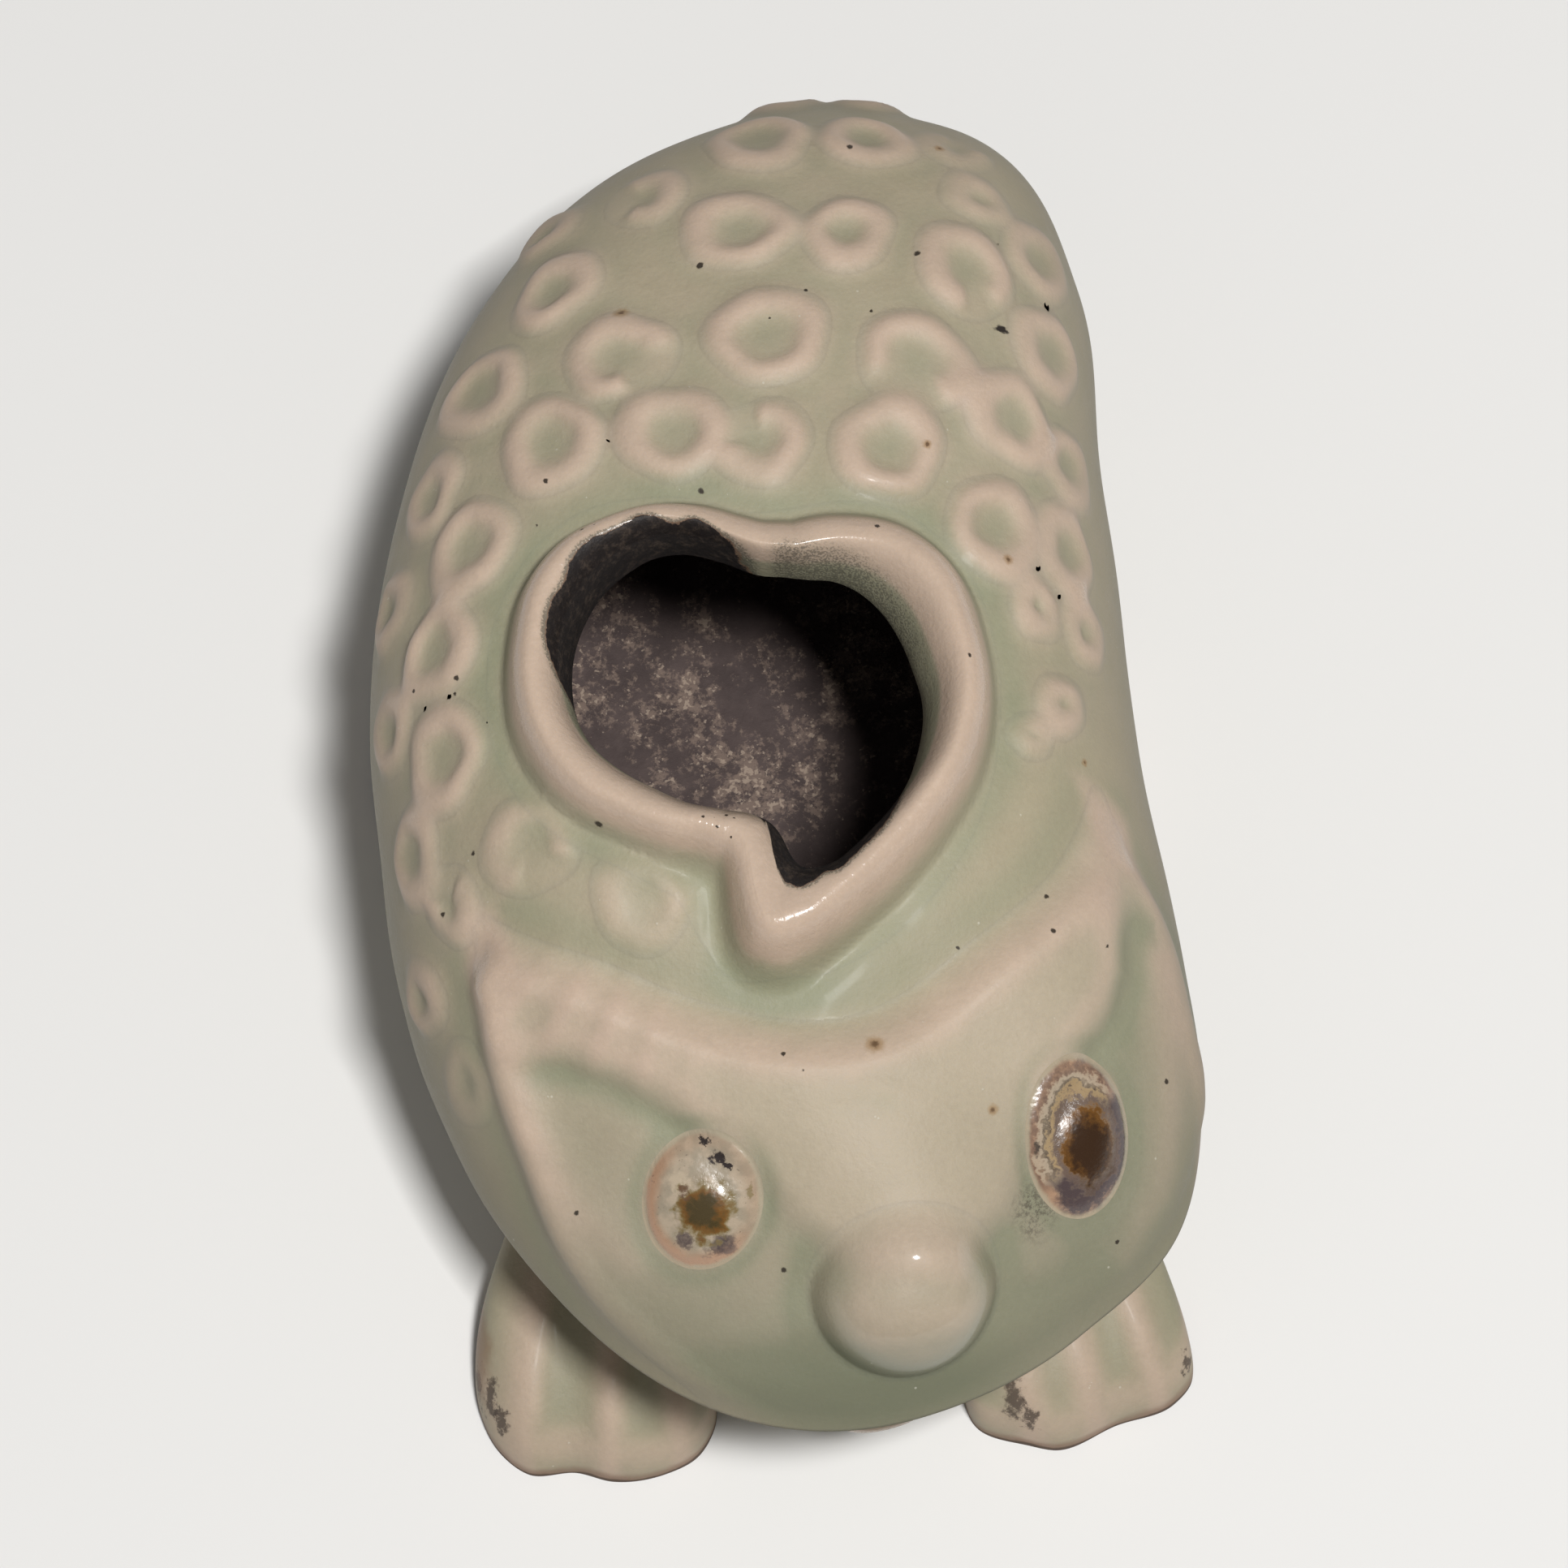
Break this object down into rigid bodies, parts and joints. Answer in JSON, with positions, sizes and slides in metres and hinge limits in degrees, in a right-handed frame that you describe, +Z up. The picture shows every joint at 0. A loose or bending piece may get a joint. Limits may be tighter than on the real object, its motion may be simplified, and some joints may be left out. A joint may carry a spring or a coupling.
{
  "type": "calligraphy water dropper",
  "caption": "Hollow glazed stoneware water dropper shaped as a squatting toad, with a lobed filling mouth in its back and a small spout under its lip.",
  "frame": {"origin": "on the table face of the floor slab, under the middle of the filling mouth", "axes": "-Y towards the head, +X towards the side of the right-hand eye in the picture, +Z up"},
  "size_m": [0.052, 0.0864, 0.0387],
  "materials": {
    "celadon_glaze": "pooled grey-green glaze, glossy",
    "pale_glaze": "thin pale glaze over high relief, glossy",
    "eye_clay": "thin glaze burnt orange at its edges",
    "iron_brown": "iron-brown spot, glossy",
    "bare_clay": "unglazed fired clay, matte"
  },
  "bodies": {
    "root": {"base_slab": "bare_clay", "belly_shell": "celadon_glaze", "back_shell": "celadon_glaze", "opening_rim": "pale_glaze", "head_mask": "pale_glaze", "lower_jaw": "celadon_glaze", "spout": "celadon_glaze", "nose_knob": "pale_glaze", "left_eye": "eye_clay", "right_eye": "eye_clay", "left_pupil": "iron_brown", "right_pupil": "iron_brown", "left_forepaw": "celadon_glaze", "right_forepaw": "celadon_glaze", "left_hind_foot": "celadon_glaze", "right_hind_foot": "celadon_glaze", "rump_warts": "pale_glaze", "back_warts": "pale_glaze", "left_flank_warts": "pale_glaze", "right_flank_warts": "pale_glaze"}
  },
  "joints": []
}
